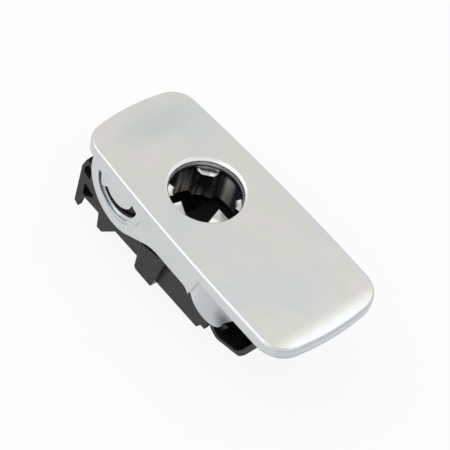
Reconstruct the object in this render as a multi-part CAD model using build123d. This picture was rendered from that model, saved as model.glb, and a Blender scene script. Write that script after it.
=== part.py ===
from build123d import *
import math
import os

# Glove box latch. Millimetres, +Z out of the plate's face, +X towards the end that is pulled.
# The origin lies on the lock hole's axis, where the hole's straight wall starts below its rounded rim.
# Everything is symmetric about the XZ plane.

# Lock hole, its collar and the sleeve in it
HOLE_RADIUS = 11.4
RIM_ROUNDING = 1.15
HOLE_WALL = 2.0
SLEEVE_RADIUS = 13.0
SLEEVE_WALL = 0.9
SLEEVE_DEPTH = 12.6
FIT = 0.1
COLLAR_WALL = 1.2
COLLAR_DEPTH = 4.6
RING_HEIGHT = 1.2
TOOTH_TOP_DROP = 0.6
TOOTH_BEVEL = 0.5
RIB_STEP = 1.6
# Direction, half angle at the inner edge, half angle at the wall and inner radius of each blunt tooth
BLUNT_TEETH = (
    (134.0, 11.5, 21.0, 9.2),
    (-139.0, 9.0, 15.0, 9.2),
    (46.0, 9.0, 15.5, 9.6),
)
# Tip and the two directions at the wall of each pointed tooth
POINTED_TEETH = (
    ((-3.0, -6.2), -110.0, -58.0),
    ((4.9, 1.5), -46.0, 7.0),
)

# Widths, from the lock sleeve outwards
SLEEVE_ROOM = 1.4
HOUSING_WALL = 1.6
CHEEK_CLEARANCE = 0.35
CHEEK_INSET = 3.4

# Plate of the handle
PLATE_LEFT = -37.4
PLATE_RIGHT = 58.6
CORNER_LEFT_X = -34.8
CORNER_LEFT_INSET = 2.35
CORNER_RIGHT_X = 56.1
CORNER_RIGHT_INSET = 0.15
CORNER_RADIUS_LEFT = 8.0
CORNER_RADIUS_RIGHT = 9.0
FACE_Z = 1.2
PLATE_THICKNESS = 1.6
EDGE_RADIUS = 0.9
PULL_END_SLOPE = 7.0
PULL_END_DROP = 0.9
SKIRT_Z_LEFT = -2.2
SKIRT_Z_RIGHT = -3.1
WALL = 2.2

# Pivot of the handle
PIVOT_X = -15.6
PIVOT_Z = -4.2
STUB_RADIUS = 1.4
PIVOT_CLEARANCE = 0.05

# Side cheeks of the handle
LOBE_RADIUS = 13.8
CHEEK_EDGE_Z = -9.6
NOSE_CENTRE_X = 27.3
NOSE_CENTRE_Z = -8.6
NOSE_RADIUS = 7.6
NOSE_RECESS_X = 22.8
NOSE_INSET_TOP = 0.45
NOSE_INSET_LOW = 1.35
GROOVE_RADIUS = 10.4
GROOVE_LEFT_X = -23.4
GROOVE_INSET = 2.1
GROOVE_SLOPE = 0.9
GROOVE_FADE = 10.0
CHANNEL_RADIUS = 9.3
CHANNEL_DEPTH = 0.8
SLOT_RADIUS = 8.3
SLOT_WIDTH_START = 1.5
SLOT_WIDTH_END = 3.0
SLOT_START = 214.0
SLOT_END = 354.0

# Housing
HOUSING_RIGHT = 27.0
HOUSING_TOP = -3.6
HOUSING_FLOOR_LEFT = -24.8
HOUSING_FLOOR_RIGHT = -26.6
LEG_RIGHT = -31.9
LEG_THICKNESS = 2.7
LEG_TIP_Z = -31.0
LEG_TOP_Z = -13.1
LEG_ROOT_DEPTH = 3.0
POCKET_FLOOR = 0.7
SHOULDER_Z = -9.0
LEG_TO_WALL = 3.9
END_WALL = 1.5
ROOF_DROP = 1.0
ROOF_THICKNESS = 1.4
PIVOT_TO_ROOF = 4.6
WALL_TO_FOOT = 4.2
FOOT_LENGTH = 8.3
FOOT_Z = -31.0
BLOCK_LEFT = -3.5
BLOCK_RIGHT = 8.0
BLOCK_PROUD = 2.1
BLOCK_TOP_LEFT = -14.8
BLOCK_TOP = -12.0
BLOCK_BOTTOM = -27.5
BLOCK_ROUNDING = 0.5
EAR_RADIUS = 3.4
BUSH_WALL = 0.7
BUSH_LENGTH = 3.4
DECK_TOP = -16.8
DECK_THICKNESS = 1.4
DECK_LEFT = -5.4
REST_X = 21.5
REST_INSET = 3.3
REST_RADIUS = 1.8

# Bolt, its cover and what it runs against
COVER_THICKNESS = 1.2
COVER_TOP = -23.6
COVER_SCREW_INSET = 3.1
POST_RADIUS = 2.2
BOLT_HEIGHT = 4.9
RIB_TO_POST = 0.7
NOSE_SHOULDER = 2.5
WALL_TO_TIP = 1.8
BOLT_SHOULDER_X = -17.2
BOLT_RIGHT = 7.0
RUN_CLEARANCE = 0.3
BOLT_TRAVEL = 5.5
BUFFER_THICKNESS = 1.0
FINGER_HALF_WIDTH = 3.0
FINGER_TIP_RADIUS = 1.4
FINGER_TIP_OFFSET = 2.0
FINGER_REACH = 17.0
FINGER_PLAY = 0.35
SPRING_WIRE = 0.35
SPRING_RADIUS = 1.9
SPRING_TURNS = 6
GUIDE_RIB = 1.4
LIGHTENING_WALL = 1.6
LIGHTENING_WIDTH = 2.2
STRIKER_BUFFER_THICKNESS = 2.4
STRIKER_BUFFER_GAP = 0.1
STRIKER_BUFFER_OVERHANG = 0.5

# Carrier under the plate and the scoop under the pull end
CARRIER_GAP = 0.7
CARRIER_THICKNESS = 1.8
CARRIER_LEFT = -33.6
CARRIER_SCREW_INSET = 3.6
SCOOP_LEFT = 28.3
SCOOP_RIGHT = 49.0
SCOOP_LOW_Z = -23.2
SCOOP_INSET = 4.05
SCOOP_WALL = 1.5
GRIP_SCREW_X = 38.0
GRIP_SCREW_INSET = 7.0
SCREW_HEAD_RADIUS = 1.9
SCREW_HEAD_HEIGHT = 1.1
SCREW_SHANK_RADIUS = 0.9
SCREW_SHANK_LENGTH = 3.4

HOUSING_INNER = SLEEVE_RADIUS + FIT + COLLAR_WALL + SLEEVE_ROOM
HOUSING_HALF_WIDTH = HOUSING_INNER + HOUSING_WALL
CHEEK_INNER = HOUSING_HALF_WIDTH + CHEEK_CLEARANCE
PLATE_HALF_WIDTH = CHEEK_INNER + CHEEK_INSET
CARRIER_HALF_WIDTH = HOUSING_INNER - BUSH_LENGTH - CARRIER_GAP
SCOOP_HALF_WIDTH = PLATE_HALF_WIDTH - SCOOP_INSET
REST_Y = HOUSING_INNER - REST_INSET
BOLT_HALF_WIDTH = HOUSING_INNER - COVER_SCREW_INSET - POST_RADIUS - RIB_TO_POST - GUIDE_RIB - RUN_CLEARANCE
BOLT_NOSE_HALF_WIDTH = BOLT_HALF_WIDTH - NOSE_SHOULDER
LEG_LEFT = LEG_RIGHT - LEG_THICKNESS
FRONT_WALL_X = LEG_RIGHT + LEG_TO_WALL
FOOT_LEFT = FRONT_WALL_X + WALL_TO_FOOT
FOOT_RIGHT = FOOT_LEFT + FOOT_LENGTH
BOLT_TIP_X = FRONT_WALL_X + WALL_TO_TIP
SLEEVE_END = -HOLE_WALL - SLEEVE_DEPTH
FINGER_RIGHT = -(SLEEVE_RADIUS + FIT + COLLAR_WALL + FIT)
PLATE_UNDER_Z = FACE_Z - PLATE_THICKNESS
BOLT_Z = COVER_TOP + RUN_CLEARANCE
BOLT_TOP = BOLT_Z + BOLT_HEIGHT
EPS = 0.01


def outline(points, radii=0.0):
    """Closed outline through the points, rounded at each corner by the radii."""
    return make_face(FilletPolyline(*points, radius=radii, close=True).edges())


def across(face, y_low, y_high):
    """Extrude an outline drawn in X and Z from y_low to y_high."""
    return Pos(0, y_low, 0) * extrude(Plane.XZ * face, amount=y_low - y_high)


def block(x_low, x_high, y_low, y_high, z_low, z_high):
    """Box between two corners."""
    middle = ((x_low + x_high) / 2, (y_low + y_high) / 2, (z_low + z_high) / 2)
    return Pos(*middle) * Box(x_high - x_low, y_high - y_low, z_high - z_low)


def disc(radius, z_low, z_high, x=0.0, y=0.0):
    """Upright cylinder."""
    return Pos(x, y, (z_low + z_high) / 2) * Cylinder(radius, z_high - z_low)


def cross_pin(radius, y_low, y_high, x=PIVOT_X, z=PIVOT_Z):
    """Cylinder along Y."""
    return Pos(x, (y_low + y_high) / 2, z) * Rot(90, 0, 0) * Cylinder(radius, y_high - y_low)


def both_sides(piece):
    """The piece and its mirror image about the XZ plane."""
    return piece + mirror(piece, Plane.XZ)


def polar(radius, angle, centre=(0.0, 0.0)):
    """Point at a radius and a direction in degrees from a centre."""
    turn = math.radians(angle)
    return (centre[0] + radius * math.cos(turn), centre[1] + radius * math.sin(turn))


# Handle


def plate_outline(inset=0.0):
    """Plan of the plate, or of a line the inset inside it: four bowed sides and rounded corners."""
    x_left = CORNER_LEFT_X + inset
    y_left = PLATE_HALF_WIDTH - CORNER_LEFT_INSET - inset
    x_right = CORNER_RIGHT_X - inset
    y_right = PLATE_HALF_WIDTH - CORNER_RIGHT_INSET - inset
    x_middle = (x_left + x_right) / 2
    y_middle = PLATE_HALF_WIDTH - inset
    far = ThreePointArc((x_left, y_left), (x_middle, y_middle), (x_right, y_right))
    right = ThreePointArc((x_right, y_right), (PLATE_RIGHT - inset, 0), (x_right, -y_right))
    near = ThreePointArc((x_right, -y_right), (x_middle, -y_middle), (x_left, -y_left))
    left = ThreePointArc((x_left, -y_left), (PLATE_LEFT + inset, 0), (x_left, y_left))
    face = make_face([far, right, near, left])
    face = fillet(face.vertices().filter_by(lambda v: v.X < 0), CORNER_RADIUS_LEFT - inset)
    return fillet(face.vertices().filter_by(lambda v: v.X > x_right - EPS), CORNER_RADIUS_RIGHT - inset)


def side_profile():
    """Side view of the handle: plate, skirt and the two lobes of a cheek."""
    brow_x = PLATE_RIGHT - PULL_END_SLOPE
    brow_z = FACE_Z + EDGE_RADIUS
    end = (PLATE_RIGHT + EDGE_RADIUS, FACE_Z - PULL_END_DROP)
    plate = make_face(
        [
            Polyline(end, (end[0], SKIRT_Z_RIGHT), (NOSE_RECESS_X, SKIRT_Z_LEFT),
                     (PLATE_LEFT - 1, SKIRT_Z_LEFT), (PLATE_LEFT - 1, brow_z),
                     (brow_x, brow_z), (brow_x, FACE_Z)),
            TangentArc((brow_x, FACE_Z), end, tangent=(1, 0)),
        ]
    )
    lobe = Pos(PIVOT_X, PIVOT_Z) * Circle(LOBE_RADIUS)
    nose = Pos(NOSE_CENTRE_X, NOSE_CENTRE_Z) * Circle(NOSE_RADIUS)
    web = outline(
        (
            (PIVOT_X, FACE_Z),
            (PIVOT_X - LOBE_RADIUS, FACE_Z),
            (PIVOT_X - LOBE_RADIUS, PIVOT_Z),
            (PIVOT_X, PIVOT_Z - 0.8 * LOBE_RADIUS),
            (PIVOT_X + 0.55 * LOBE_RADIUS, PIVOT_Z - 0.83 * LOBE_RADIUS),
            (PIVOT_X + 1.3 * LOBE_RADIUS, CHEEK_EDGE_Z),
            (NOSE_RECESS_X - 3.5, CHEEK_EDGE_Z),
            (NOSE_CENTRE_X - 0.66 * NOSE_RADIUS, NOSE_CENTRE_Z - 0.74 * NOSE_RADIUS),
            (NOSE_CENTRE_X + 0.6 * NOSE_RADIUS, NOSE_CENTRE_Z - 0.79 * NOSE_RADIUS),
            (NOSE_CENTRE_X + NOSE_RADIUS + 3.6, SKIRT_Z_RIGHT),
            (NOSE_CENTRE_X + NOSE_RADIUS + 3.6, FACE_Z),
        ),
        [0, 0, 0, 0, 0, 12, 4, 0, 0, 0, 0],
    )
    above = Pos(0, 20 + FACE_Z) * Rectangle(200, 40)
    return plate + (lobe + nose + web - above)


def make_handle():
    """Plate, skirt and cheeks with their tongues, pivot stubs and the collar of the lock hole."""
    plan = plate_outline()
    shell = extrude(Pos(0, 0, -30) * plan, amount=30 + FACE_Z)
    shell = shell & across(side_profile(), -30, 30)
    brow_x = PLATE_RIGHT - PULL_END_SLOPE
    crest = [e for e in shell.edges()
             if e.center().Z > FACE_Z - PULL_END_DROP - EPS and abs(e.center().X - brow_x) > EPS]
    shell = fillet(crest, EDGE_RADIUS)
    shell -= extrude(Pos(0, 0, -30) * plate_outline(WALL), amount=30 + PLATE_UNDER_Z)
    room_right = NOSE_CENTRE_X + 2 * NOSE_RADIUS
    shell -= block(PLATE_LEFT, room_right, -CHEEK_INNER, CHEEK_INNER, -30, SKIRT_Z_LEFT - 0.1)
    collar_radius = SLEEVE_RADIUS + FIT + COLLAR_WALL
    collar_end = -HOLE_WALL - COLLAR_DEPTH
    shell += disc(collar_radius, collar_end, PLATE_UNDER_Z)
    shell -= disc(SLEEVE_RADIUS + FIT, collar_end - 1, -HOLE_WALL)
    shell -= disc(HOLE_RADIUS, -5, 5)
    rim = [e for e in shell.edges().filter_by(GeomType.CIRCLE)
           if abs(e.radius - HOLE_RADIUS) < EPS and abs(e.arc_center.Z - FACE_Z) < EPS]
    shell = fillet(rim, RIM_ROUNDING)
    shell -= both_sides(nose_recess())
    shell -= both_sides(pivot_groove())
    shell -= both_sides(tongue_slot())
    stub = cross_pin(STUB_RADIUS, -CHEEK_INNER - 0.5, -HOUSING_INNER + BUSH_LENGTH - 1)
    return shell + both_sides(stub)


def nose_recess():
    """The front lobe's outer face lies deeper than the skirt and leans inwards, from a slanted line on."""
    right = PLATE_RIGHT - 2 * CORNER_RADIUS_RIGHT
    low = NOSE_CENTRE_Z - NOSE_RADIUS - 1
    region = outline(
        (
            (NOSE_RECESS_X, SKIRT_Z_LEFT),
            (right, SKIRT_Z_RIGHT + 0.2),
            (right, low),
            (NOSE_RECESS_X - 2.6, low),
            (NOSE_RECESS_X - 2.6, CHEEK_EDGE_Z - 2),
        )
    )
    outside = -PLATE_HALF_WIDTH - 5
    leaning = outline(
        (
            (outside, SKIRT_Z_LEFT + 1),
            (-PLATE_HALF_WIDTH + NOSE_INSET_TOP, SKIRT_Z_LEFT + 1),
            (-PLATE_HALF_WIDTH + NOSE_INSET_LOW, low),
            (outside, low),
        )
    )
    return across(region, outside, 0) & extrude(Plane.YZ * leaning, amount=right + 5)


def pivot_groove():
    """Groove with sloping sides round the tongue, deep at its left and bottom, flush towards the right."""
    floor_radius = GROOVE_RADIUS - GROOVE_SLOPE
    floor_left = GROOVE_LEFT_X + GROOVE_SLOPE
    floor_right = PIVOT_X + floor_radius
    circle = Pos(PIVOT_X, PIVOT_Z) * Circle(floor_radius)
    kept = Pos((floor_left + floor_right + 1) / 2, PIVOT_Z) * Rectangle(floor_right + 1 - floor_left, 60)
    upper = Pos((floor_left + floor_right) / 2, PIVOT_Z + 5) * Rectangle(floor_right - floor_left, 10)
    floor_y = -PLATE_HALF_WIDTH + GROOVE_INSET
    region = (circle & kept) + upper
    tool = extrude(Plane.XZ.offset(-floor_y) * region, amount=4, taper=-45)
    left = GROOVE_LEFT_X - 5
    right = PIVOT_X + SLOT_RADIUS + GROOVE_FADE
    wedge = outline(
        (
            (left, -30),
            (right, -30),
            (right, floor_y - 2.4),
            (PIVOT_X + 0.5 * SLOT_RADIUS, floor_y),
            (left, floor_y),
        )
    )
    below_skirt = block(left, right, -30, 0, PIVOT_Z - 30, SKIRT_Z_LEFT)
    pocket = tool & extrude(Pos(0, 0, -40) * wedge, amount=80) & below_skirt
    ring = Pos(PIVOT_X, floor_y, PIVOT_Z) * Rot(90, 0, 0) * Torus(CHANNEL_RADIUS, CHANNEL_DEPTH)
    channel = ring & block(left, PIVOT_X + 0.6 * SLOT_RADIUS, -30, 0, PIVOT_Z - 30, PIVOT_Z)
    return pocket + channel


def tongue_slot():
    """Crescent slot that frees the tongue of the pivot stub, narrow at its start and wide at its end."""
    pivot = (PIVOT_X, PIVOT_Z)
    middle = (SLOT_START + SLOT_END) / 2
    width = (SLOT_WIDTH_START + SLOT_WIDTH_END) / 2
    inner_start = polar(SLOT_RADIUS - SLOT_WIDTH_START, SLOT_START, pivot)
    inner_end = polar(SLOT_RADIUS - SLOT_WIDTH_END, SLOT_END, pivot)
    outer_start = polar(SLOT_RADIUS, SLOT_START, pivot)
    outer_end = polar(SLOT_RADIUS, SLOT_END, pivot)
    face = make_face(
        [
            ThreePointArc(inner_start, polar(SLOT_RADIUS - width, middle, pivot), inner_end),
            Line(inner_end, outer_end),
            ThreePointArc(outer_end, polar(SLOT_RADIUS, middle, pivot), outer_start),
            Line(outer_start, inner_start),
        ]
    )
    return across(face, -30, -HOUSING_HALF_WIDTH)


def tooth_outlines():
    """Plan of each tooth, its outer side sunk a little into the sleeve's wall."""
    wall = SLEEVE_RADIUS - SLEEVE_WALL + 0.3
    faces = []
    for direction, tip_half, wall_half, inner in BLUNT_TEETH:
        near = polar(wall, direction - wall_half)
        far = polar(wall, direction + wall_half)
        sides = Polyline(near, polar(inner, direction - tip_half), polar(inner, direction + tip_half), far)
        faces.append(make_face([sides, ThreePointArc(far, polar(wall, direction), near)]))
    for tip, start, end in POINTED_TEETH:
        near = polar(wall, start)
        far = polar(wall, end)
        wall_arc = ThreePointArc(far, polar(wall, (start + end) / 2), near)
        faces.append(make_face([Polyline(near, tip, far), wall_arc]))
    return faces


def make_lock_sleeve():
    """Sleeve with a flange under the hole's wall and five ribs that end in bevelled teeth."""
    top = -HOLE_WALL
    end = top - SLEEVE_DEPTH
    bore = SLEEVE_RADIUS - SLEEVE_WALL
    sleeve = disc(SLEEVE_RADIUS, end, top) - disc(bore, end - 1, top + 1)
    tip = top - TOOTH_TOP_DROP
    for face in tooth_outlines():
        rib = extrude(Pos(0, 0, end) * face, amount=tip - end)
        crest = rib.edges().group_by(Axis.Z)[-1].filter_by(GeomType.LINE)
        rib = chamfer(crest, TOOTH_BEVEL)
        sleeve += rib
    barrel = disc(bore - RIB_STEP, end - 1, top - SLEEVE_DEPTH / 2)
    return sleeve - barrel


def make_sleeve_ring():
    """Ring pushed over the sleeve's foot, up against the collar."""
    top = -HOLE_WALL - COLLAR_DEPTH
    ring = disc(SLEEVE_RADIUS + COLLAR_WALL, top - RING_HEIGHT, top)
    return ring - disc(SLEEVE_RADIUS, top - RING_HEIGHT - 1, top + 1)


# Carrier and scoop on the handle


def finger_tip():
    """Centre of the release finger's round tip."""
    return (PIVOT_X + FINGER_TIP_OFFSET, PIVOT_Z - FINGER_REACH)


def make_inner_carrier():
    """Moulding under the left half of the plate, with the finger that draws the bolt."""
    top = PLATE_UNDER_Z
    under = top - CARRIER_THICKNESS
    half = CARRIER_HALF_WIDTH
    plate = block(CARRIER_LEFT, PIVOT_X + 6, -half, half, under, top)
    plate -= disc(SLEEVE_RADIUS + FIT + COLLAR_WALL + RUN_CLEARANCE, under - 1, top + 1)
    tip_x, tip_z = finger_tip()
    finger = outline(
        (
            (FINGER_RIGHT - 6.7, under + EPS),
            (FINGER_RIGHT - 4.6, under - 9),
            (tip_x - 0.4 * FINGER_TIP_RADIUS, tip_z + 2.4 * FINGER_TIP_RADIUS),
            (tip_x - FINGER_TIP_RADIUS, tip_z),
            (tip_x + FINGER_TIP_RADIUS, tip_z),
            (tip_x + 0.1 * FINGER_TIP_RADIUS, tip_z + 1.6 * FINGER_TIP_RADIUS),
            (tip_x + 0.1 * FINGER_TIP_RADIUS, tip_z + 3.6 * FINGER_TIP_RADIUS),
            (FINGER_RIGHT, SLEEVE_END - FIT),
            (FINGER_RIGHT, under + EPS),
        )
    )
    finger += Pos(tip_x, tip_z) * Circle(FINGER_TIP_RADIUS)
    piece = plate + across(finger, -FINGER_HALF_WIDTH, FINGER_HALF_WIDTH)
    for x, y in carrier_screw_places():
        piece -= disc(SCREW_SHANK_RADIUS, under - 1, top + 1, x, y)
    root = FINGER_RIGHT - 5.8
    gusset = outline(((root - 5.4, under + EPS), (root, under - 7), (root, under + EPS)))
    return piece + across(gusset, -0.8, 0.8)


def carrier_screw_places():
    y = CARRIER_HALF_WIDTH - CARRIER_SCREW_INSET
    return ((PIVOT_X - 8.5, -y), (PIVOT_X - 8.5, y))


def screw(x, y, seat_z, length):
    """Pan head screw whose head lies under seat_z and whose shank goes up."""
    head = disc(SCREW_HEAD_RADIUS, seat_z - SCREW_HEAD_HEIGHT, seat_z, x, y)
    head = chamfer(head.edges().group_by(Axis.Z)[0], 0.4)
    return head + disc(SCREW_SHANK_RADIUS, seat_z - EPS, seat_z + length, x, y)


def make_carrier_screws():
    under = PLATE_UNDER_Z - CARRIER_THICKNESS
    length = CARRIER_THICKNESS + 0.6 * PLATE_THICKNESS
    return [screw(x, y, under, length) for x, y in carrier_screw_places()]


def scoop_outline(inset=0.0):
    """Side view of the scoop, or of its hollow the wall inside it."""
    left = SCOOP_LEFT + inset
    right = SCOOP_RIGHT - inset
    low = SCOOP_LOW_Z + inset
    top = PLATE_UNDER_Z - inset
    return outline(
        (
            (left, top),
            (left, low + 2.0 - 0.3 * inset),
            (left + 3.5 - 0.8 * inset, low),
            (right - 7.4 + 0.1 * inset, low + 2.8 - 0.2 * inset),
            (right - 5.4, low + 6.2 - 0.5 * inset),
            (right - 2.1, low + 14.6 - 0.6 * inset),
            (right, low + 19.8 - 0.9 * inset),
            (right, top),
        ),
        [0, 1.5, 3.0 - 0.4 * inset, 3.0 - 0.4 * inset, 4.0, 6.0, 0, 0],
    )


def make_grip_liner():
    """Hollow scoop under the pull end, open at both sides, with a guard at each mouth's low corner."""
    half = SCOOP_HALF_WIDTH
    scoop = across(scoop_outline(), -half, half) - across(scoop_outline(SCOOP_WALL), -half - 1, half + 1)
    foot = SCOOP_LOW_Z + SCOOP_WALL
    tab = outline(
        (
            (SCOOP_LEFT + 1.0, foot + 0.8),
            (SCOOP_LEFT + 2.6, foot - 0.2),
            (SCOOP_LEFT + 5.4, foot + 5.0),
            (SCOOP_LEFT + 4.1, foot + 5.1),
        )
    )
    scoop += both_sides(across(tab, -half + 1.6, -half + 2.8))
    for x, y in grip_screw_places():
        scoop -= disc(SCREW_SHANK_RADIUS, PLATE_UNDER_Z - SCOOP_WALL - 1, PLATE_UNDER_Z + 1, x, y)
    return scoop


def grip_screw_places():
    y = SCOOP_HALF_WIDTH - GRIP_SCREW_INSET
    return ((GRIP_SCREW_X, -y), (GRIP_SCREW_X, y))


def make_grip_screws():
    length = SCOOP_WALL + 0.6 * PLATE_THICKNESS
    return [screw(x, y, PLATE_UNDER_Z - SCOOP_WALL, length) for x, y in grip_screw_places()]


def screw_holes():
    """Blind holes in the plate's underside for the screws of carrier and scoop."""
    top = PLATE_UNDER_Z + 0.65 * PLATE_THICKNESS
    places = carrier_screw_places() + grip_screw_places()
    return [disc(SCREW_SHANK_RADIUS, PLATE_UNDER_Z - 1, top, x, y) for x, y in places]


# Housing


def make_housing():
    """Side walls, end walls, deck, pivot ears, blocks, guide feet and clip legs."""
    outer = -HOUSING_HALF_WIDTH
    wall_profile = outline(
        (
            (LEG_RIGHT - 1.3, SHOULDER_Z),
            (LEG_LEFT, LEG_TOP_Z),
            (LEG_LEFT, LEG_TIP_Z + 1.1),
            (LEG_LEFT + 1.9, LEG_TIP_Z),
            (LEG_RIGHT, LEG_TIP_Z + 4.6),
            (LEG_RIGHT + 1.2, HOUSING_FLOOR_LEFT),
            (FOOT_LEFT, HOUSING_FLOOR_LEFT),
            (FOOT_LEFT + 0.6, FOOT_Z),
            (FOOT_LEFT + 2.9, FOOT_Z),
            (FOOT_RIGHT, HOUSING_FLOOR_LEFT),
            (BLOCK_LEFT, HOUSING_FLOOR_LEFT),
            (BLOCK_LEFT + 8, HOUSING_FLOOR_RIGHT),
            (HOUSING_RIGHT - 3.1, HOUSING_FLOOR_RIGHT),
            (HOUSING_RIGHT - 1.8, HOUSING_FLOOR_RIGHT + 2.4),
            (HOUSING_RIGHT, HOUSING_FLOOR_RIGHT + 2.5),
            (HOUSING_RIGHT, HOUSING_TOP),
            (PIVOT_X + 7, HOUSING_TOP),
            (PIVOT_X + 4.5, PIVOT_Z - 3),
            (PIVOT_X - 5, PIVOT_Z - 3),
            (PIVOT_X - 10, SHOULDER_Z - 0.4),
        )
    )
    ear = Pos(PIVOT_X, PIVOT_Z) * Circle(EAR_RADIUS)
    neck = Pos(PIVOT_X, PIVOT_Z - 3) * Rectangle(2 * EAR_RADIUS, 6)
    wall = across(wall_profile + ear + neck, outer, outer + HOUSING_WALL)
    wall += leg_root()
    for pocket in leg_pockets():
        wall -= across(pocket, outer - 1, outer + HOUSING_WALL + LEG_ROOT_DEPTH - POCKET_FLOOR)
    block_profile = outline(
        (
            (BLOCK_LEFT, BLOCK_TOP_LEFT),
            (BLOCK_LEFT, BLOCK_BOTTOM + 0.8),
            (BLOCK_LEFT + 1.0, BLOCK_BOTTOM),
            (BLOCK_RIGHT - 3.4, BLOCK_BOTTOM - 0.2),
            (BLOCK_RIGHT, BLOCK_TOP),
        ),
        [0, 0.4, 0.6, 0.3, 0],
    )
    pad = across(block_profile, outer - BLOCK_PROUD, outer + HOUSING_WALL)
    left_edge = pad.edges().group_by(Axis.Y)[0].sort_by(Axis.X)[0]
    wall += fillet(left_edge, BLOCK_ROUNDING)
    wall -= cross_pin(STUB_RADIUS + PIVOT_CLEARANCE + BUSH_WALL, outer - 1, outer + HOUSING_WALL + 1)
    body = both_sides(wall)
    inner = HOUSING_INNER + EPS
    right_top = HOUSING_TOP
    body += block(HOUSING_RIGHT - 1.7, HOUSING_RIGHT - 0.1, -inner, inner, HOUSING_FLOOR_RIGHT + 2.6, right_top)
    roof_top = SHOULDER_Z - ROOF_DROP
    body += block(FRONT_WALL_X, FRONT_WALL_X + END_WALL, -inner, inner, HOUSING_FLOOR_LEFT, roof_top)
    body += block(DECK_LEFT, HOUSING_RIGHT - 1, -inner, inner, DECK_TOP - DECK_THICKNESS, DECK_TOP)
    body += block(LEG_RIGHT - 1.8, LEG_RIGHT, -inner, inner, SHOULDER_Z - 8.0, SHOULDER_Z - 4.0)
    body += block(FRONT_WALL_X, PIVOT_X - PIVOT_TO_ROOF, -inner, inner, roof_top - ROOF_THICKNESS, roof_top)
    body -= block(FRONT_WALL_X - 1, FRONT_WALL_X + END_WALL + 1, -BOLT_NOSE_HALF_WIDTH - RUN_CLEARANCE,
                  BOLT_NOSE_HALF_WIDTH + RUN_CLEARANCE, BOLT_Z - RUN_CLEARANCE, BOLT_TOP + RUN_CLEARANCE)
    for x, y in cover_screw_places():
        post = disc(POST_RADIUS, COVER_TOP, DECK_TOP - DECK_THICKNESS + EPS, x, y)
        body += post
        body -= disc(SCREW_SHANK_RADIUS, COVER_TOP - 1, COVER_TOP + SCREW_SHANK_LENGTH, x, y)
    for y in (-REST_Y, REST_Y):
        shelf = block(REST_X - 3, HOUSING_RIGHT - 1, y - 3, y + 3, HOUSING_TOP - 2, HOUSING_TOP - 0.4)
        body += shelf
    spring_peg = Pos(HOUSING_RIGHT - 3.2, 0, spring_z()) * Rot(0, 90, 0) * Cylinder(SPRING_RADIUS - 0.5, 3.2)
    return body + spring_peg


def leg_pockets():
    """The two hollows between the clip leg and the wall, with the strut that is left between them."""
    upper = outline(
        (
            (LEG_RIGHT - 1.4, LEG_TOP_Z + 0.2),
            (LEG_RIGHT - 0.3, SHOULDER_Z - 1.6),
            (LEG_RIGHT + 1.7, SHOULDER_Z - 1.6),
            (LEG_RIGHT + 1.7, LEG_TOP_Z - 2.6),
            (LEG_RIGHT - 1.4, LEG_TOP_Z - 1.8),
        )
    )
    lower = outline(
        (
            (LEG_RIGHT, LEG_TOP_Z - 5.7),
            (LEG_RIGHT + 4.3, LEG_TOP_Z - 7.2),
            (LEG_RIGHT + 4.5, HOUSING_FLOOR_LEFT + 3.4),
            (LEG_RIGHT + 1.0, HOUSING_FLOOR_LEFT + 0.7),
            (LEG_RIGHT, HOUSING_FLOOR_LEFT + 0.9),
        )
    )
    return (upper, lower)


def leg_root():
    """Thicker part of the wall behind the pockets."""
    start = -HOUSING_INNER - EPS
    right = FRONT_WALL_X + EPS
    top = SHOULDER_Z - ROOF_DROP
    return block(LEG_RIGHT - 2.0, right, start, start + LEG_ROOT_DEPTH, HOUSING_FLOOR_LEFT, top)


def make_rest_buffer(side):
    """Rubber stud that the closed plate rests on."""
    foot = HOUSING_TOP - 0.4
    return disc(REST_RADIUS, foot, PLATE_UNDER_Z - 0.05, REST_X, side * REST_Y)


def make_end_buffer(side):
    """Rubber pad under the carrier's left end, which meets the housing's roof when the handle is open."""
    top = PLATE_UNDER_Z - CARRIER_THICKNESS
    y = side * (CARRIER_HALF_WIDTH - CARRIER_SCREW_INSET)
    return block(CARRIER_LEFT + 0.6, CARRIER_LEFT + 3.6, y - 2.4, y + 2.4, top - 1.2, top)


def make_pivot_bush(side):
    """Bush in the ear of the housing, long enough inside to carry the return spring."""
    bore = STUB_RADIUS + PIVOT_CLEARANCE
    start = -HOUSING_HALF_WIDTH
    bush = cross_pin(bore + BUSH_WALL, start, -HOUSING_INNER + BUSH_LENGTH)
    bush -= cross_pin(bore, start - 1, -HOUSING_INNER + BUSH_LENGTH - 0.6)
    return bush if side < 0 else mirror(bush, Plane.XZ)


def coil(radius, wire, pitch, turns):
    """Wire wound on a helix along +Z, its section a hexagon about as wide as the round wire."""
    path = Helix(pitch=pitch, height=pitch * turns, radius=radius)
    start = path @ 0
    section = Plane(origin=start, z_dir=path % 0) * RegularPolygon(wire, 6)
    return sweep(section, path=path, is_frenet=True)


def make_return_spring(side):
    """Torsion spring on the bush, one leg up to the carrier and one down to the housing."""
    radius = STUB_RADIUS + PIVOT_CLEARANCE + BUSH_WALL + 0.1 + SPRING_WIRE
    turns = 3
    pitch = 2 * SPRING_WIRE + 0.15
    start = -HOUSING_INNER + SPRING_WIRE + 0.15
    spring = Pos(PIVOT_X, start, PIVOT_Z) * Rot(-90, 0, 0) * coil(radius, SPRING_WIRE, pitch, turns)
    return spring if side < 0 else mirror(spring, Plane.XZ)


# Bolt and cover


def spring_z():
    return BOLT_Z + BOLT_HEIGHT / 2


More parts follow.
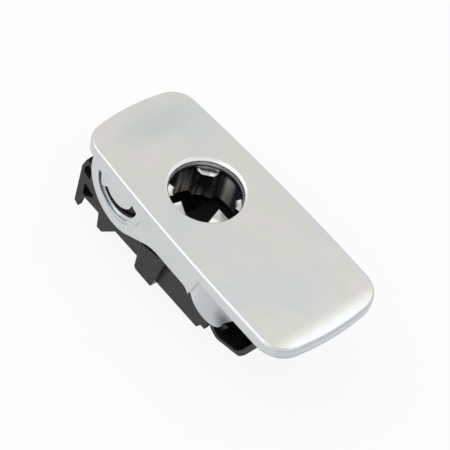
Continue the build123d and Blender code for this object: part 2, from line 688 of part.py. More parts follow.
def make_latch_bolt():
    """Sliding bolt with a bevelled nose, a window for the finger and a pocket for its spring."""
    half = BOLT_HALF_WIDTH
    bolt = block(BOLT_SHOULDER_X, BOLT_RIGHT, -half, half, BOLT_Z, BOLT_TOP)
    nose = outline(
        (
            (BOLT_SHOULDER_X + 1, BOLT_Z),
            (BOLT_SHOULDER_X - 2.6, BOLT_Z),
            (BOLT_TIP_X, BOLT_TOP - 1.6),
            (BOLT_TIP_X, BOLT_TOP),
            (BOLT_SHOULDER_X + 1, BOLT_TOP),
        )
    )
    bolt += across(nose, -BOLT_NOSE_HALF_WIDTH, BOLT_NOSE_HALF_WIDTH)
    tip_x = finger_tip()[0]
    reach = FINGER_TIP_RADIUS + FINGER_PLAY
    side = FINGER_HALF_WIDTH + FINGER_PLAY
    bolt -= block(tip_x - reach, tip_x + reach, -side, side, BOLT_Z - 1, BOLT_TOP + 1)
    pocket = Pos(BOLT_RIGHT - 2, 0, spring_z()) * Rot(0, 90, 0) * Cylinder(SPRING_RADIUS + 0.45, 5)
    bolt -= pocket
    outer = half - LIGHTENING_WALL
    inner = outer - LIGHTENING_WIDTH
    lightening = block(BOLT_RIGHT - 15, BOLT_RIGHT - 5, inner, outer, BOLT_Z + 1.2, BOLT_TOP + 1)
    return bolt - both_sides(lightening)


def make_bolt_spring():
    """Compression spring between the bolt and the right end wall."""
    left = BOLT_RIGHT - 4.5 + SPRING_WIRE + 0.1
    right = HOUSING_RIGHT - 1.7 - SPRING_WIRE - 0.1
    pitch = (right - left) / SPRING_TURNS
    spring = coil(SPRING_RADIUS - 0.1, SPRING_WIRE, pitch, SPRING_TURNS)
    return Pos(left, 0, spring_z()) * Rot(0, 90, 0) * spring


def make_bolt_stop_buffer():
    """Rubber yoke that the bolt's shoulders rest against."""
    right = BOLT_SHOULDER_X - 0.1
    yoke = block(right - BUFFER_THICKNESS, right, -BOLT_HALF_WIDTH, BOLT_HALF_WIDTH, COVER_TOP, BOLT_TOP)
    gap = BOLT_NOSE_HALF_WIDTH + RUN_CLEARANCE
    return yoke - block(right - 5, right + 1, -gap, gap, BOLT_Z - RUN_CLEARANCE + 0.01, BOLT_TOP + 1)


def make_striker_buffer():
    """Rubber block under the housing's roof, above the striker."""
    top = SHOULDER_Z - ROOF_DROP - ROOF_THICKNESS
    half = BOLT_NOSE_HALF_WIDTH + STRIKER_BUFFER_OVERHANG
    left = FRONT_WALL_X + END_WALL + STRIKER_BUFFER_GAP
    right = PIVOT_X - PIVOT_TO_ROOF - STRIKER_BUFFER_OVERHANG
    return block(left, right, -half, half, top - STRIKER_BUFFER_THICKNESS, top)


def cover_screw_places():
    y = HOUSING_INNER - COVER_SCREW_INSET
    right = HOUSING_RIGHT - 9.0
    left = DECK_LEFT + POST_RADIUS + 0.6
    return ((right, -y), (right, y), (left, -y), (left, y))


def make_bottom_cover():
    """Cover under the bolt with two guide ribs and a stop wall."""
    low = COVER_TOP - COVER_THICKNESS
    inner = HOUSING_INNER - FIT
    cover = block(BOLT_SHOULDER_X - 2.6, HOUSING_RIGHT - 3.4, -inner, inner, low, COVER_TOP)
    rib_in = BOLT_HALF_WIDTH + RUN_CLEARANCE
    rib_top = DECK_TOP - DECK_THICKNESS - FIT
    rib_right = BOLT_RIGHT + BOLT_TRAVEL
    rib = block(BOLT_SHOULDER_X - 1.1, rib_right, rib_in, rib_in + GUIDE_RIB, COVER_TOP - EPS, rib_top)
    cover += both_sides(rib)
    stop_right = BOLT_SHOULDER_X - 0.1 - BUFFER_THICKNESS
    stop = block(stop_right - 1.4, stop_right, BOLT_NOSE_HALF_WIDTH + RUN_CLEARANCE, rib_in + GUIDE_RIB,
                 COVER_TOP - EPS, BOLT_TOP)
    cover += both_sides(stop)
    for x, y in cover_screw_places():
        cover -= disc(SCREW_SHANK_RADIUS, low - 1, COVER_TOP + 1, x, y)
    return cover


def make_cover_screws():
    low = COVER_TOP - COVER_THICKNESS
    return [screw(x, y, low, COVER_THICKNESS + SCREW_SHANK_LENGTH - 0.3) for x, y in cover_screw_places()]


def main():
    os.makedirs("parts", exist_ok=True)
    handle = make_handle()
    for hole in screw_holes():
        handle -= hole
    pieces = {
        "handle": handle,
        "lock_sleeve": make_lock_sleeve(),
        "sleeve_ring": make_sleeve_ring(),
        "inner_carrier": make_inner_carrier(),
        "carrier_screws": Compound(children=make_carrier_screws()),
        "grip_liner": make_grip_liner(),
        "grip_screws": Compound(children=make_grip_screws()),
        "end_buffer_left": make_end_buffer(-1),
        "end_buffer_right": make_end_buffer(1),
        "housing": make_housing(),
        "pivot_bush_left": make_pivot_bush(-1),
        "pivot_bush_right": make_pivot_bush(1),
        "return_spring_left": make_return_spring(-1),
        "return_spring_right": make_return_spring(1),
        "rest_buffer_left": make_rest_buffer(-1),
        "rest_buffer_right": make_rest_buffer(1),
        "latch_bolt": make_latch_bolt(),
        "bolt_spring": make_bolt_spring(),
        "bolt_stop_buffer": make_bolt_stop_buffer(),
        "striker_buffer": make_striker_buffer(),
        "bottom_cover": make_bottom_cover(),
        "cover_screws": Compound(children=make_cover_screws()),
    }
    for name, piece in pieces.items():
        export_step(piece, f"parts/{name}.step")
        print(name, "solids", len(piece.solids()), "volume", round(piece.volume, 2), "valid", piece.is_valid)


main()
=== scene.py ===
import bpy
from mathutils import Matrix, Vector


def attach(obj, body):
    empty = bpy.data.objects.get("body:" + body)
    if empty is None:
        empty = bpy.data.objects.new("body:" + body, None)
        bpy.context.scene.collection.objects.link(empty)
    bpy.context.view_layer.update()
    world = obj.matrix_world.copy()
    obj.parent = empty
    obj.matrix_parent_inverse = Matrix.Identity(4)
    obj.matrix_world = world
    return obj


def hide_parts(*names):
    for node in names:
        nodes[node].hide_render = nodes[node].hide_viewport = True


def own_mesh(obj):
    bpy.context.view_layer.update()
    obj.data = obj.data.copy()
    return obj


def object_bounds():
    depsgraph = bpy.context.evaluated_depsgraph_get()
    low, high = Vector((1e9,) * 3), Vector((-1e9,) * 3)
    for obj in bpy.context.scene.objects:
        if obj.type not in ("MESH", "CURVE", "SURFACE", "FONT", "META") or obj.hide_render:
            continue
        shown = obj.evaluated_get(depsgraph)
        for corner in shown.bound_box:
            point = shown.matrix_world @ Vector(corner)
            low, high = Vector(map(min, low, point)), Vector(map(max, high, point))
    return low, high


# Looks of the glove box latch: materials, floor, light and camera. Metres, in the frame of the model.

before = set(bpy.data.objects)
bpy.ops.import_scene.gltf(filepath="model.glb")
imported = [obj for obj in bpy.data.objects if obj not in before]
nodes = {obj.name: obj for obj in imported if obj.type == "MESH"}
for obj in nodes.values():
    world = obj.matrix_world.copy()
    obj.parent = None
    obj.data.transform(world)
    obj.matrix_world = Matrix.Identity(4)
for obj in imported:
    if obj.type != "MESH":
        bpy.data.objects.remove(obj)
cad_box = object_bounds()

# Camera, fitted to the photograph about the lock hole's axis
IMAGE_SIZE = 450
HOLE_PIXEL = (207.7, 190.4)
FOCAL_PIXELS = 2386.7
SENSOR = 36.0
CLIP_START = 0.01
CAMERA_PLACE = (0.2717, -0.3539, 0.5406)
CAMERA_RIGHT = (0.626, 0.758, 0.182)
CAMERA_BACK = (0.388, -0.506, 0.771)

# Places on the model that the materials follow. A pair named _BAND gives where a tone starts to show and
# where it has taken over, and a pair named _SPAN gives the first and the last place of a row of tones.

# Plate: its rounded edges, and a painted cool reflection on its face near the left end, given by its middle
# and half size
FACE_EDGE_BAND = (0.0009, 0.0003)
LONG_EDGE_BAND = (0.0191, 0.0205)
PULL_EDGE_BAND = (0.0545, 0.0565)
REFLECTION_CLOUD_CENTRE = (-0.0273, 0.0020)
REFLECTION_CLOUD_SIZE = (0.0068, 0.0165)

# End face of the pull end, where x + END_BEND * y * y is past the band, and the painted reflections over its
# height, with a dark crease line among them
END_BEND = 5.5
END_FACE_BAND = (0.0561, 0.0567)
END_TOP_BAND = (0.0007, 0.0003)
END_HEIGHT_SPAN = (-0.0022, 0.0005)

# Second lobe of the cheeks, darkened to the right with painted shade, and its dark end beside the liner, a
# painted reflection of the liner
LOBE_START = 0.0215
LOBE_BAND = (LOBE_START, LOBE_START + 0.0015)
LOBE_TOP_BAND = (-0.0020, -0.0032)
LOBE_FADE_BAND = (LOBE_START, 0.0290)
LOBE_SHADE_CENTRE = (0.0364, -0.0092)
LOBE_SHADE_SIZE = (0.0068, 0.0074)

# Groove round the pivot in each cheek, carrying painted reflections, shade and highlights: its inner and
# outer radius, where the tones of its left side take over, and how far its tones reach towards the middle
# plane, the plate and the right
PIVOT = (-0.0156, -0.0042)
GROOVE_SPAN = (0.0083, 0.0111)
GROOVE_LEFT_BAND = (PIVOT[0] + 0.0005, PIVOT[0] - 0.0045)
GROOVE_SIDE_BAND = (0.0179, 0.0181)
GROOVE_TOP_BAND = (-0.0040, -0.0056)
GROOVE_RIGHT_BAND = (PIVOT[0] + 0.0080, PIVOT[0] + 0.0045)

# Lock hole: its rim, which carries a painted highlight, its wall, and the lower part of the wall, which is
# dark with painted shade
HOLE_AXIS = (0.0, 0.0)
RIM_BAND = (0.0126, 0.0121)
RIM_TOP_BAND = (0.0012, 0.0009)
HOLE_WALL_BAND = (0.0117, 0.0114)
HOLE_TOP_BAND = (0.0004, -0.0002)
HOLE_DARK_BAND = (-0.0008, -0.0014)

# Ribbed sleeve: the tops of its teeth, a darker patch on one of them, its ribs, and its wall with its
# painted reflections and shade, which is measured from left to right along WALL_ALONG
TOOTH_TOP = -0.0030
TOOTH_BAND = (TOOTH_TOP - 0.0004, TOOTH_TOP)
PLATED_BAND = (TOOTH_TOP - 0.0020, TOOTH_TOP - 0.0004)
DARK_PATCH_CENTRE = (0.0088, 0.0012)
DARK_PATCH_SIZE = (0.0042, 0.0036)
RIB_BAND = (0.0120, 0.0117)
RIB_END_BAND = (-0.0150, -0.0085)
WALL_END_BAND = (-0.0062, -0.0125)
WALL_ALONG = (0.637, 0.771)
WALL_RIGHT_BAND = (0.0030, 0.0040)
WALL_RIGHT_SPAN = (0.0035, 0.0108)
WALL_LEFT_BAND = (-0.0062, -0.0082)

# Polished outside of the housing, measured from its middle plane. Inside it the housing is matt and darker
# with painted shade.
HOUSING_SIDE_BAND = (0.0167, 0.0171)

# Shares of an ellipse's half size at which a spot starts and is full
SPOT_BAND = (1.0, 0.3)
BEVEL_SAMPLES = 6

# How much the tone of moulded plastic varies, as a share, and its roughness
TONE_SPREAD = 0.15
ROUGHNESS_SPREAD = 0.06

# Floor: its size, its gap below the model, its own look, and the share of it that is plain white where it is
# seen. The rest takes the object's shadow.
FLOOR_SIZE = 3.0
FLOOR_GAP = 0.0005
FLOOR_LEVEL = 0.95
FLOOR_ROUGHNESS = 0.9
FLOOR_WHITE = 0.9

# Sky light, and soft lamps as name, place, size, power in watts and colour. The key lamp draws a line along
# the near edge, and the others light the far end and the near side.
SKY_COLOUR = (0.95, 0.97, 1.0)
SKY_STRENGTH = 0.7
LAMP_TARGET = (0.01, 0.0, -0.01)
LAMPS = (
    ("softbox_key", (-0.36, -0.25, 0.85), (0.75, 0.6), 1.9, (1.0, 0.995, 0.98)),
    ("softbox_far", (0.0, 0.52, 0.87), (0.26, 0.45), 0.36, (1.0, 1.0, 1.0)),
    ("softbox_near", (0.1, -0.9, 0.25), (0.7, 0.3), 0.8, (0.95, 0.97, 1.0)),
)


# Node helpers


SOCKETS = {
    "colour": "Base Color",
    "metallic": "Metallic",
    "roughness": "Roughness",
    "specular": "Specular IOR Level",
}


def grey(level):
    return (level, level, level)


def opaque(colour):
    return (*colour, 1.0)


class Shader:
    """A material's node tree with short ways to add and link nodes. Colours are red, green and blue."""

    def __init__(self, name):
        self.material = bpy.data.materials.new(name)
        self.material.use_nodes = True
        self.tree = self.material.node_tree
        self.bsdf = self.tree.nodes["Principled BSDF"]
        self.place = self.add("ShaderNodeTexCoord").outputs["Object"]
        split = self.add("ShaderNodeSeparateXYZ")
        self.link(self.place, split.inputs[0])
        self.x, self.y, self.z = (split.outputs[axis] for axis in "XYZ")

    def add(self, kind, **values):
        node = self.tree.nodes.new(kind)
        for key, value in values.items():
            setattr(node, key, value)
        return node

    def link(self, source, target):
        self.tree.links.new(source, target)

    def put(self, source, target):
        """Set a socket to a number or a colour, or link a node's output to it."""
        if isinstance(source, tuple):
            target.default_value = opaque(source)
        elif isinstance(source, (int, float)):
            target.default_value = source
        else:
            self.link(source, target)

    def surface(self, **values):
        """Set or link the surface's own sockets, under their short names in SOCKETS."""
        for key, value in values.items():
            self.put(value, self.bsdf.inputs[SOCKETS[key]])

    def noise(self, scale, detail, roughness=0.5, stretch=None):
        """Noise with about that many cycles a metre, or fewer along an axis whose stretch is below 1."""
        source = self.place
        if stretch:
            mapping = self.add("ShaderNodeMapping")
            mapping.inputs["Scale"].default_value = stretch
            self.link(source, mapping.inputs["Vector"])
            source = mapping.outputs["Vector"]
        node = self.add("ShaderNodeTexNoise")
        node.inputs["Scale"].default_value = scale
        node.inputs["Detail"].default_value = detail
        node.inputs["Roughness"].default_value = roughness
        self.link(source, node.inputs["Vector"])
        return node.outputs["Fac"]

    def ramp(self, source, *stops):
        """Colour from pairs of place and colour, blended in between."""
        node = self.add("ShaderNodeValToRGB")
        ramp = node.color_ramp
        while len(ramp.elements) < len(stops):
            ramp.elements.new(0.5)
        for element, (place, colour) in zip(ramp.elements, stops):
            element.position = place
            element.color = opaque(colour)
        self.link(source, node.inputs["Fac"])
        return node.outputs["Color"]

    def mix(self, factor, first, second):
        node = self.add("ShaderNodeMix", data_type="RGBA")
        self.put(factor, node.inputs[0])
        self.put(first, node.inputs[6])
        self.put(second, node.inputs[7])
        return node.outputs[2]

    def cover(self, tone, new, *masks, share):
        """Mix a share of the new tone in where all the masks are 1."""
        return self.mix(self.times(*masks, share), tone, new)

    def math(self, operation, first, second=0.0):
        node = self.add("ShaderNodeMath", operation=operation)
        self.put(first, node.inputs[0])
        self.put(second, node.inputs[1])
        return node.outputs[0]

    def times(self, first, *others):
        for other in others:
            first = self.math("MULTIPLY", first, other)
        return first

    def step(self, value, band):
        """0 before the band's first place, 1 after its second, and even in between."""
        node = self.add("ShaderNodeMapRange")
        node.inputs["From Min"].default_value, node.inputs["From Max"].default_value = band
        self.link(value, node.inputs["Value"])
        return node.outputs["Result"]

    def length(self, first, second):
        squares = [self.math("MULTIPLY", side, side) for side in (first, second)]
        return self.math("SQRT", self.math("ADD", *squares))

    def reach(self, first, second, centre):
        """Distance in the plane of two axes from a centre."""
        sides = [self.math("SUBTRACT", axis, place) for axis, place in zip((first, second), centre)]
        return self.length(*sides)

    def spot(self, first, second, centre, size):
        """1 in the middle of an ellipse in the plane of two axes, fading to 0 at its edge."""
        sides = [
            self.math("DIVIDE", self.math("SUBTRACT", axis, place), half)
            for axis, place, half in zip((first, second), centre, size)
        ]
        return self.step(self.length(*sides), SPOT_BAND)

    def from_middle(self):
        """Distance from the plane about which the left and right sides mirror."""
        return self.math("ABSOLUTE", self.y)

    def bump(self, height, distance, strength, rounding=0.0):
        """Raise the surface by the height, over edges that look rounded by a radius."""
        node = self.add("ShaderNodeBump")
        if rounding:
            edge = self.add("ShaderNodeBevel", samples=BEVEL_SAMPLES)
            edge.inputs["Radius"].default_value = rounding
            self.link(edge.outputs["Normal"], node.inputs["Normal"])
        node.inputs["Distance"].default_value = distance
        node.inputs["Strength"].default_value = strength
        self.link(height, node.inputs["Height"])
        self.link(node.outputs["Normal"], self.bsdf.inputs["Normal"])


# Plating of the handle


def plate_tone(shader):
    """Warm mottling on the face with a painted cool reflection near its left end, neutral at its edges, and
    cooler below it, where the cool tone of the sides is a painted reflection.
    """
    face = shader.ramp(
        shader.noise(scale=38.0, detail=2.0, roughness=0.45),
        (0.36, (0.640, 0.618, 0.588)),
        (0.45, (0.622, 0.620, 0.574)),
        (0.55, (0.606, 0.617, 0.584)),
        (0.66, (0.582, 0.598, 0.603)),
    )
    # Painted cool reflection: a darker green-grey patch on the face near its left end.
    reflection_cloud = shader.spot(shader.x, shader.y, REFLECTION_CLOUD_CENTRE, REFLECTION_CLOUD_SIZE)
    face = shader.mix(reflection_cloud, face, (0.536, 0.574, 0.554))
    long_edge = shader.step(shader.from_middle(), LONG_EDGE_BAND)
    edge = shader.math("MAXIMUM", long_edge, shader.step(shader.x, PULL_EDGE_BAND))
    face = shader.mix(edge, face, (0.598, 0.618, 0.640))
    # Cooler tone of the sides below the face: a painted cool reflection, mottled at random.
    side = shader.ramp(
        shader.noise(scale=60.0, detail=2.0, roughness=0.45),
        (0.30, (0.610, 0.625, 0.635)),
        (0.50, (0.625, 0.645, 0.645)),
        (0.70, (0.650, 0.650, 0.640)),
    )
    return shader.mix(shader.step(shader.z, FACE_EDGE_BAND), face, side)


def shade_pull_end(shader, tone):
    """Painted reflections in a row of bands over the height of the end face, with a dark painted crease line
    near its top.
    """
    painted_end_reflections = shader.ramp(
        shader.step(shader.z, END_HEIGHT_SPAN),
        (0.00, (0.52, 0.54, 0.58)),
        (0.60, (0.60, 0.62, 0.66)),
        (0.86, (0.52, 0.55, 0.59)),
        (0.96, (0.40, 0.43, 0.47)),
        (1.00, (0.46, 0.49, 0.52)),
    )
    bend = shader.times(shader.y, shader.y, END_BEND)
    end_face = shader.step(shader.math("ADD", shader.x, bend), END_FACE_BAND)
    return shader.cover(tone, painted_end_reflections, end_face, shader.step(shader.z, END_TOP_BAND), share=0.9)


def shade_lobe(shader, tone):
    """Painted shade on the second lobe, darker to the right, and a painted reflection of the liner that
    turns it dark beside the liner.
    """
    painted_lobe_shade = shader.mix(shader.step(shader.x, LOBE_FADE_BAND), (0.570, 0.585, 0.600), (0.475, 0.500, 0.535))
    # Painted reflection of the black liner: a dark spot at the lobe's right end.
    shade = shader.spot(shader.x, shader.z, LOBE_SHADE_CENTRE, LOBE_SHADE_SIZE)
    painted_lobe_shade = shader.mix(shade, painted_lobe_shade, (0.055, 0.068, 0.088))
    lobe = shader.step(shader.x, LOBE_BAND)
    return shader.cover(tone, painted_lobe_shade, lobe, shader.step(shader.z, LOBE_TOP_BAND), share=0.9)


def shade_hole(shader, tone):
    """Painted highlight on the rim and painted shade on the lower wall of the lock hole. The mask of its
    whole wall comes back too.
    """
    from_axis = shader.reach(shader.x, shader.y, HOLE_AXIS)
    rim = shader.step(from_axis, RIM_BAND)
    # Painted highlight on the rim.
    tone = shader.cover(tone, (0.84, 0.85, 0.86), rim, shader.step(shader.z, RIM_TOP_BAND), share=0.9)
    wall = shader.times(shader.step(from_axis, HOLE_WALL_BAND), shader.step(shader.z, HOLE_TOP_BAND))
    # Painted shade on the lower wall.
    dark = shader.times(wall, shader.step(shader.z, HOLE_DARK_BAND))
    return shader.mix(dark, tone, (0.10, 0.10, 0.11)), wall


def shade_grooves(shader, tone):
    """Rings of painted shade and painted highlights across the groove round each pivot, darker on its left
    side.
    """
    across = shader.step(shader.reach(shader.x, shader.z, PIVOT), GROOVE_SPAN)
    # Painted shade in dark bands and painted highlights in white lines, across the groove.
    left_side = shader.ramp(
        across,
        (0.00, (0.88, 0.89, 0.90)),
        (0.07, (0.62, 0.64, 0.66)),
        (0.14, (0.24, 0.27, 0.30)),
        (0.50, (0.22, 0.26, 0.30)),
        (0.72, (0.36, 0.40, 0.44)),
        (0.86, (0.60, 0.63, 0.65)),
        (0.94, (1.00, 1.00, 1.00)),
        (1.00, (0.62, 0.64, 0.65)),
    )
    right_side = shader.ramp(
        across,
        (0.00, (0.90, 0.91, 0.92)),
        (0.10, (0.60, 0.63, 0.65)),
        (0.40, (0.72, 0.77, 0.77)),
        (0.66, (0.56, 0.61, 0.63)),
        (0.86, (0.34, 0.39, 0.43)),
        (0.94, (0.95, 0.96, 0.97)),
        (1.00, (0.62, 0.64, 0.65)),
    )
    painted_groove_rings = shader.mix(shader.step(shader.x, GROOVE_LEFT_BAND), right_side, left_side)
    masks = (
        shader.step(shader.from_middle(), GROOVE_SIDE_BAND),
        shader.step(shader.z, GROOVE_TOP_BAND),
        shader.step(across, (1.0, 0.99)),
        shader.step(across, (0.0, 0.01)),
        shader.step(shader.x, GROOVE_RIGHT_BAND),
    )
    return shader.cover(tone, painted_groove_rings, *masks, share=0.85)


def satin_chrome():
    """Satin plating, whose tone follows the surfaces of the handle and carries painted reflections,
    highlights and shade.
    """
    shader = Shader("satin_chrome")
    tone = shade_lobe(shader, shade_pull_end(shader, plate_tone(shader)))
    tone, hole_wall = shade_hole(shader, tone)
    tone = shade_grooves(shader, tone)
    satin = shader.ramp(shader.noise(scale=240.0, detail=3.0), (0.3, grey(0.25)), (0.7, grey(0.31)))
    shader.surface(colour=tone, metallic=1.0, roughness=shader.mix(hole_wall, satin, grey(0.62)))
    shader.bump(shader.noise(scale=900.0, detail=2.0), distance=0.000002, strength=0.12)
    return shader.material


# Plating of the sleeve


def sleeve_wall_tone(shader):
    """Painted reflections streaked down the wall, dark above and with brown painted reflections and
    highlights at its end, a row of painted reflections on the right, and painted shade over the dark left
    part.
    """
    streaks = shader.noise(scale=520.0, detail=2.5, roughness=0.6, stretch=(1.0, 1.0, 0.08))
    upper = shader.ramp(
        streaks,
        (0.36, (0.020, 0.021, 0.024)),
        (0.52, (0.050, 0.054, 0.062)),
        (0.62, (0.13, 0.135, 0.15)),
        (0.72, (0.34, 0.335, 0.34)),
    )
    # Brown painted reflections and bright painted highlights at the wall's end.
    lower = shader.ramp(
        streaks,
        (0.34, (0.040, 0.034, 0.032)),
        (0.48, (0.22, 0.185, 0.16)),
        (0.58, (0.58, 0.51, 0.45)),
        (0.68, (0.92, 0.84, 0.77)),
    )
    wall = shader.mix(shader.step(shader.z, WALL_END_BAND), upper, lower)
    along = shader.math("ADD", shader.times(shader.x, WALL_ALONG[0]), shader.times(shader.y, WALL_ALONG[1]))
    # Row of painted reflections on the right of the wall.
    right = shader.ramp(
        shader.step(along, WALL_RIGHT_SPAN),
        (0.00, (0.50, 0.42, 0.36)),
        (0.14, (0.05, 0.06, 0.08)),
        (0.42, (0.04, 0.05, 0.07)),
        (0.58, (0.95, 0.86, 0.72)),
        (0.76, (0.55, 0.57, 0.60)),
        (0.90, (0.04, 0.04, 0.05)),
    )
    wall = shader.cover(wall, right, shader.step(along, WALL_RIGHT_BAND), share=0.75)
    # Painted shade over the left part of the wall.
    return shader.cover(wall, grey(0.03), shader.step(along, WALL_LEFT_BAND), share=0.8)


def tooth_tone(shader):
    """Mottled bright tops of the teeth, one of them darker in a patch."""
    bright = shader.ramp(
        shader.noise(scale=260.0, detail=2.0),
        (0.38, (0.52, 0.50, 0.47)),
        (0.50, (0.80, 0.785, 0.765)),
        (0.62, (0.95, 0.95, 0.95)),
    )
    dark_patch = shader.spot(shader.x, shader.y, DARK_PATCH_CENTRE, DARK_PATCH_SIZE)
    return shader.mix(dark_patch, bright, (0.31, 0.29, 0.255))


def sleeve_plating():
    """Bright plating on the tops of the teeth, and almost none on the near-black ribs and the wall below
    them, whose tone carries painted reflections and shade.
    """
    shader = Shader("sleeve_plating")
    rib = shader.step(shader.reach(shader.x, shader.y, HOLE_AXIS), RIB_BAND)
    rib_end = shader.step(shader.z, RIB_END_BAND)
    wall = shader.cover(sleeve_wall_tone(shader), (0.012, 0.013, 0.015), rib, rib_end, share=0.92)
    tone = shader.mix(shader.step(shader.z, TOOTH_BAND), wall, tooth_tone(shader))
    shader.surface(colour=tone, metallic=shader.step(shader.z, PLATED_BAND), roughness=0.13)
    ripple = shader.noise(scale=600.0, detail=2.0, stretch=(1.0, 1.0, 0.15))
    shader.bump(ripple, distance=0.00003, strength=0.4)
    return shader.material


# Plastic, steel and rubber


def moulded_plastic(name, level, roughness, specular):
    """Moulded plastic with a fine grain."""
    shader = Shader(name)
    tone = shader.ramp(
        shader.noise(scale=90.0, detail=4.0),
        (0.35, grey(level * (1 - TONE_SPREAD))),
        (0.70, grey(level * (1 + TONE_SPREAD))),
    )
    rough = shader.ramp(
        shader.noise(scale=700.0, detail=2.0),
        (0.3, grey(roughness - ROUGHNESS_SPREAD)),
        (0.7, grey(roughness + ROUGHNESS_SPREAD)),
    )
    shader.surface(colour=tone, roughness=rough, specular=specular)
    shader.bump(shader.noise(scale=3200.0, detail=2.0), distance=0.00001, strength=0.25)
    return shader.material


def housing_black():
    """Moulded plastic, polished by the tool outside and left matt inside and in the pockets, where it is
    also darker with painted shade.
    """
    shader = Shader("housing_black")
    outside = shader.step(shader.from_middle(), HOUSING_SIDE_BAND)
    skin = shader.ramp(
        shader.noise(scale=90.0, detail=4.0),
        (0.35, (0.008, 0.007, 0.007)),
        (0.55, (0.011, 0.011, 0.011)),
        (0.75, (0.018, 0.016, 0.016)),
    )
    polish = shader.ramp(shader.noise(scale=700.0, detail=2.0), (0.3, grey(0.34)), (0.7, grey(0.46)))
    # Painted shade: a darker tone inside the housing and in its pockets.
    tone = shader.mix(outside, grey(0.006), skin)
    shader.surface(colour=tone, roughness=shader.mix(outside, grey(0.75), polish), specular=0.24)
    grain = shader.noise(scale=3200.0, detail=2.0)
    shader.bump(grain, distance=0.00001, strength=0.25, rounding=0.0003)
    return shader.material


def drawn_steel():
    """Zinc plated steel of screws, ring and springs."""
    shader = Shader("drawn_steel")
    tone = shader.ramp(
        shader.noise(scale=300.0, detail=3.0),
        (0.35, (0.36, 0.37, 0.38)),
        (0.50, (0.46, 0.46, 0.45)),
        (0.65, (0.56, 0.55, 0.52)),
    )
    rough = shader.ramp(shader.noise(scale=900.0, detail=2.0), (0.3, grey(0.24)), (0.7, grey(0.40)))
    shader.surface(colour=tone, metallic=1.0, roughness=rough)
    grain = shader.noise(scale=2000.0, detail=2.0)
    shader.bump(grain, distance=0.000006, strength=0.3, rounding=0.00015)
    return shader.material


def buffer_rubber():
    """Matt rubber of the buffers."""
    shader = Shader("buffer_rubber")
    bloom = shader.noise(scale=200.0, detail=4.0)
    shader.surface(colour=shader.ramp(bloom, (0.3, grey(0.018)), (0.7, grey(0.035))), roughness=0.75)
    shader.bump(shader.noise(scale=1500.0, detail=3.0), distance=0.00003, strength=0.3)
    return shader.material


def bolt_acetal():
    """Smooth black acetal of the bolt, with a faint flow pattern."""
    shader = Shader("bolt_acetal")
    flow = shader.noise(scale=150.0, detail=3.0)
    tone = shader.ramp(flow, (0.3, grey(0.004)), (0.7, grey(0.007)))
    shader.surface(colour=tone, roughness=0.38, specular=0.2)
    shader.bump(shader.noise(scale=1800.0, detail=2.0), distance=0.000008, strength=0.3)
    return shader.material


# Pieces


def dress():
    """Give each node the material of the first of these words that its name holds."""
    black = housing_black()
    liner = moulded_plastic("liner_black", level=0.012, roughness=0.38, specular=0.24)
    bush = moulded_plastic("bush_grey", level=0.09, roughness=0.4, specular=0.5)
    steel = drawn_steel()
    by_word = {
        "screws": steel,
        "handle": satin_chrome(),
        "lock_sleeve": sleeve_plating(),
        "liner": liner,
        "carrier": liner,
        "housing": black,
        "cover": black,
        "bush": bush,
        "buffer": buffer_rubber(),
        "spring": steel,
        "ring": steel,
        "latch_bolt": bolt_acetal(),
    }
    for name, node in nodes.items():
        node.data.materials.clear()
        node.data.materials.append(next(material for word, material in by_word.items() if word in name))


def wind_bolt_spring():
    """A copy of the bolt's spring, with a mesh of its own and held by the housing, stands in for the spring,
    which is hidden.
    """
    piece = bpy.data.objects.new("bolt_spring_wire", nodes["bolt_spring"].data.copy())
    bpy.context.collection.objects.link(piece)
    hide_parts("bolt_spring")
    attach(piece, "housing")
    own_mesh(piece)


# Floor, light and camera


def white_where_seen(tree, shader, share=1.0):
    """Show white, or a share of it, to the camera and to reflections, and the shader to all else."""

    def math(operation, first, second):
        node = tree.nodes.new("ShaderNodeMath")
        node.operation = operation
        tree.links.new(first, node.inputs[0])
        if isinstance(second, float):
            node.inputs[1].default_value = second
        else:
            tree.links.new(second, node.inputs[1])
        return node.outputs[0]

    rays = tree.nodes.new("ShaderNodeLightPath").outputs
    seen = math("MAXIMUM", rays["Is Camera Ray"], rays["Is Glossy Ray"])
    seen = math("MAXIMUM", seen, rays["Is Transmission Ray"])
    white = tree.nodes.new("ShaderNodeEmission")
    white.inputs["Color"].default_value = opaque(grey(1.0))
    mix = tree.nodes.new("ShaderNodeMixShader")
    tree.links.new(math("MULTIPLY", seen, share), mix.inputs[0])
    tree.links.new(shader, mix.inputs[1])
    tree.links.new(white.outputs[0], mix.inputs[2])
    return mix.outputs[0]


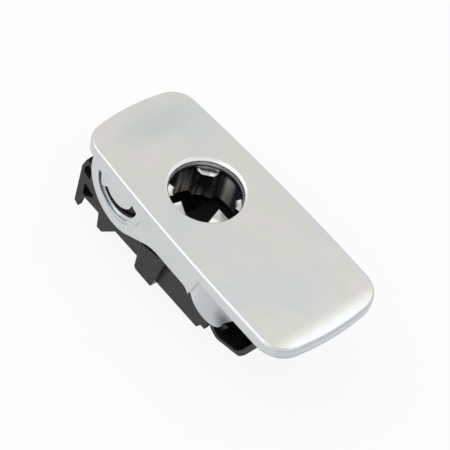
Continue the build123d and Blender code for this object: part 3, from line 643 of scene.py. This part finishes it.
def make_floor():
    """White floor just below the model."""
    bpy.ops.mesh.primitive_plane_add(size=FLOOR_SIZE, location=(0, 0, cad_box[0][2] - FLOOR_GAP))
    floor = bpy.context.object
    floor.name = "floor"
    shader = Shader("floor_white")
    shader.surface(colour=grey(FLOOR_LEVEL), roughness=FLOOR_ROUGHNESS)
    out = shader.tree.nodes["Material Output"]
    shader.link(white_where_seen(shader.tree, shader.bsdf.outputs[0], FLOOR_WHITE), out.inputs["Surface"])
    floor.data.materials.append(shader.material)


def make_world():
    """Even, slightly cool light from all round, seen as white."""
    world = bpy.data.worlds.new("studio")
    bpy.context.scene.world = world
    world.use_nodes = True
    tree = world.node_tree
    background = tree.nodes["Background"]
    background.inputs["Color"].default_value = opaque(SKY_COLOUR)
    background.inputs["Strength"].default_value = SKY_STRENGTH
    out = tree.nodes["World Output"]
    tree.links.new(white_where_seen(tree, background.outputs[0]), out.inputs["Surface"])


def make_lamps():
    """Rectangular lamps that face the model."""
    for name, place, size, power, colour in LAMPS:
        data = bpy.data.lights.new(name, "AREA")
        data.shape = "RECTANGLE"
        data.size, data.size_y = size
        data.energy = power
        data.color = colour
        lamp = bpy.data.objects.new(name, data)
        bpy.context.collection.objects.link(lamp)
        lamp.location = place
        lamp.rotation_euler = (Vector(place) - Vector(LAMP_TARGET)).to_track_quat("Z", "Y").to_euler()


def make_camera():
    """Camera at the photograph's place, its frame shifted so that the lock hole lies on its pixel."""
    data = bpy.data.cameras.new("camera")
    data.sensor_width = SENSOR
    data.lens = FOCAL_PIXELS / IMAGE_SIZE * SENSOR
    data.shift_x = (IMAGE_SIZE / 2 - HOLE_PIXEL[0]) / IMAGE_SIZE
    data.shift_y = (HOLE_PIXEL[1] - IMAGE_SIZE / 2) / IMAGE_SIZE
    data.clip_start = CLIP_START
    camera = bpy.data.objects.new("camera", data)
    bpy.context.collection.objects.link(camera)
    back = Vector(CAMERA_BACK).normalized()
    right = Vector(CAMERA_RIGHT)
    right = (right - back * right.dot(back)).normalized()
    turn = Matrix((right, back.cross(right), back)).transposed()
    camera.matrix_world = Matrix.Translation(CAMERA_PLACE) @ turn.to_4x4()
    bpy.context.scene.camera = camera


dress()
wind_bolt_spring()
make_floor()
make_world()
make_lamps()
make_camera()
bpy.context.scene.view_settings.view_transform = "Standard"
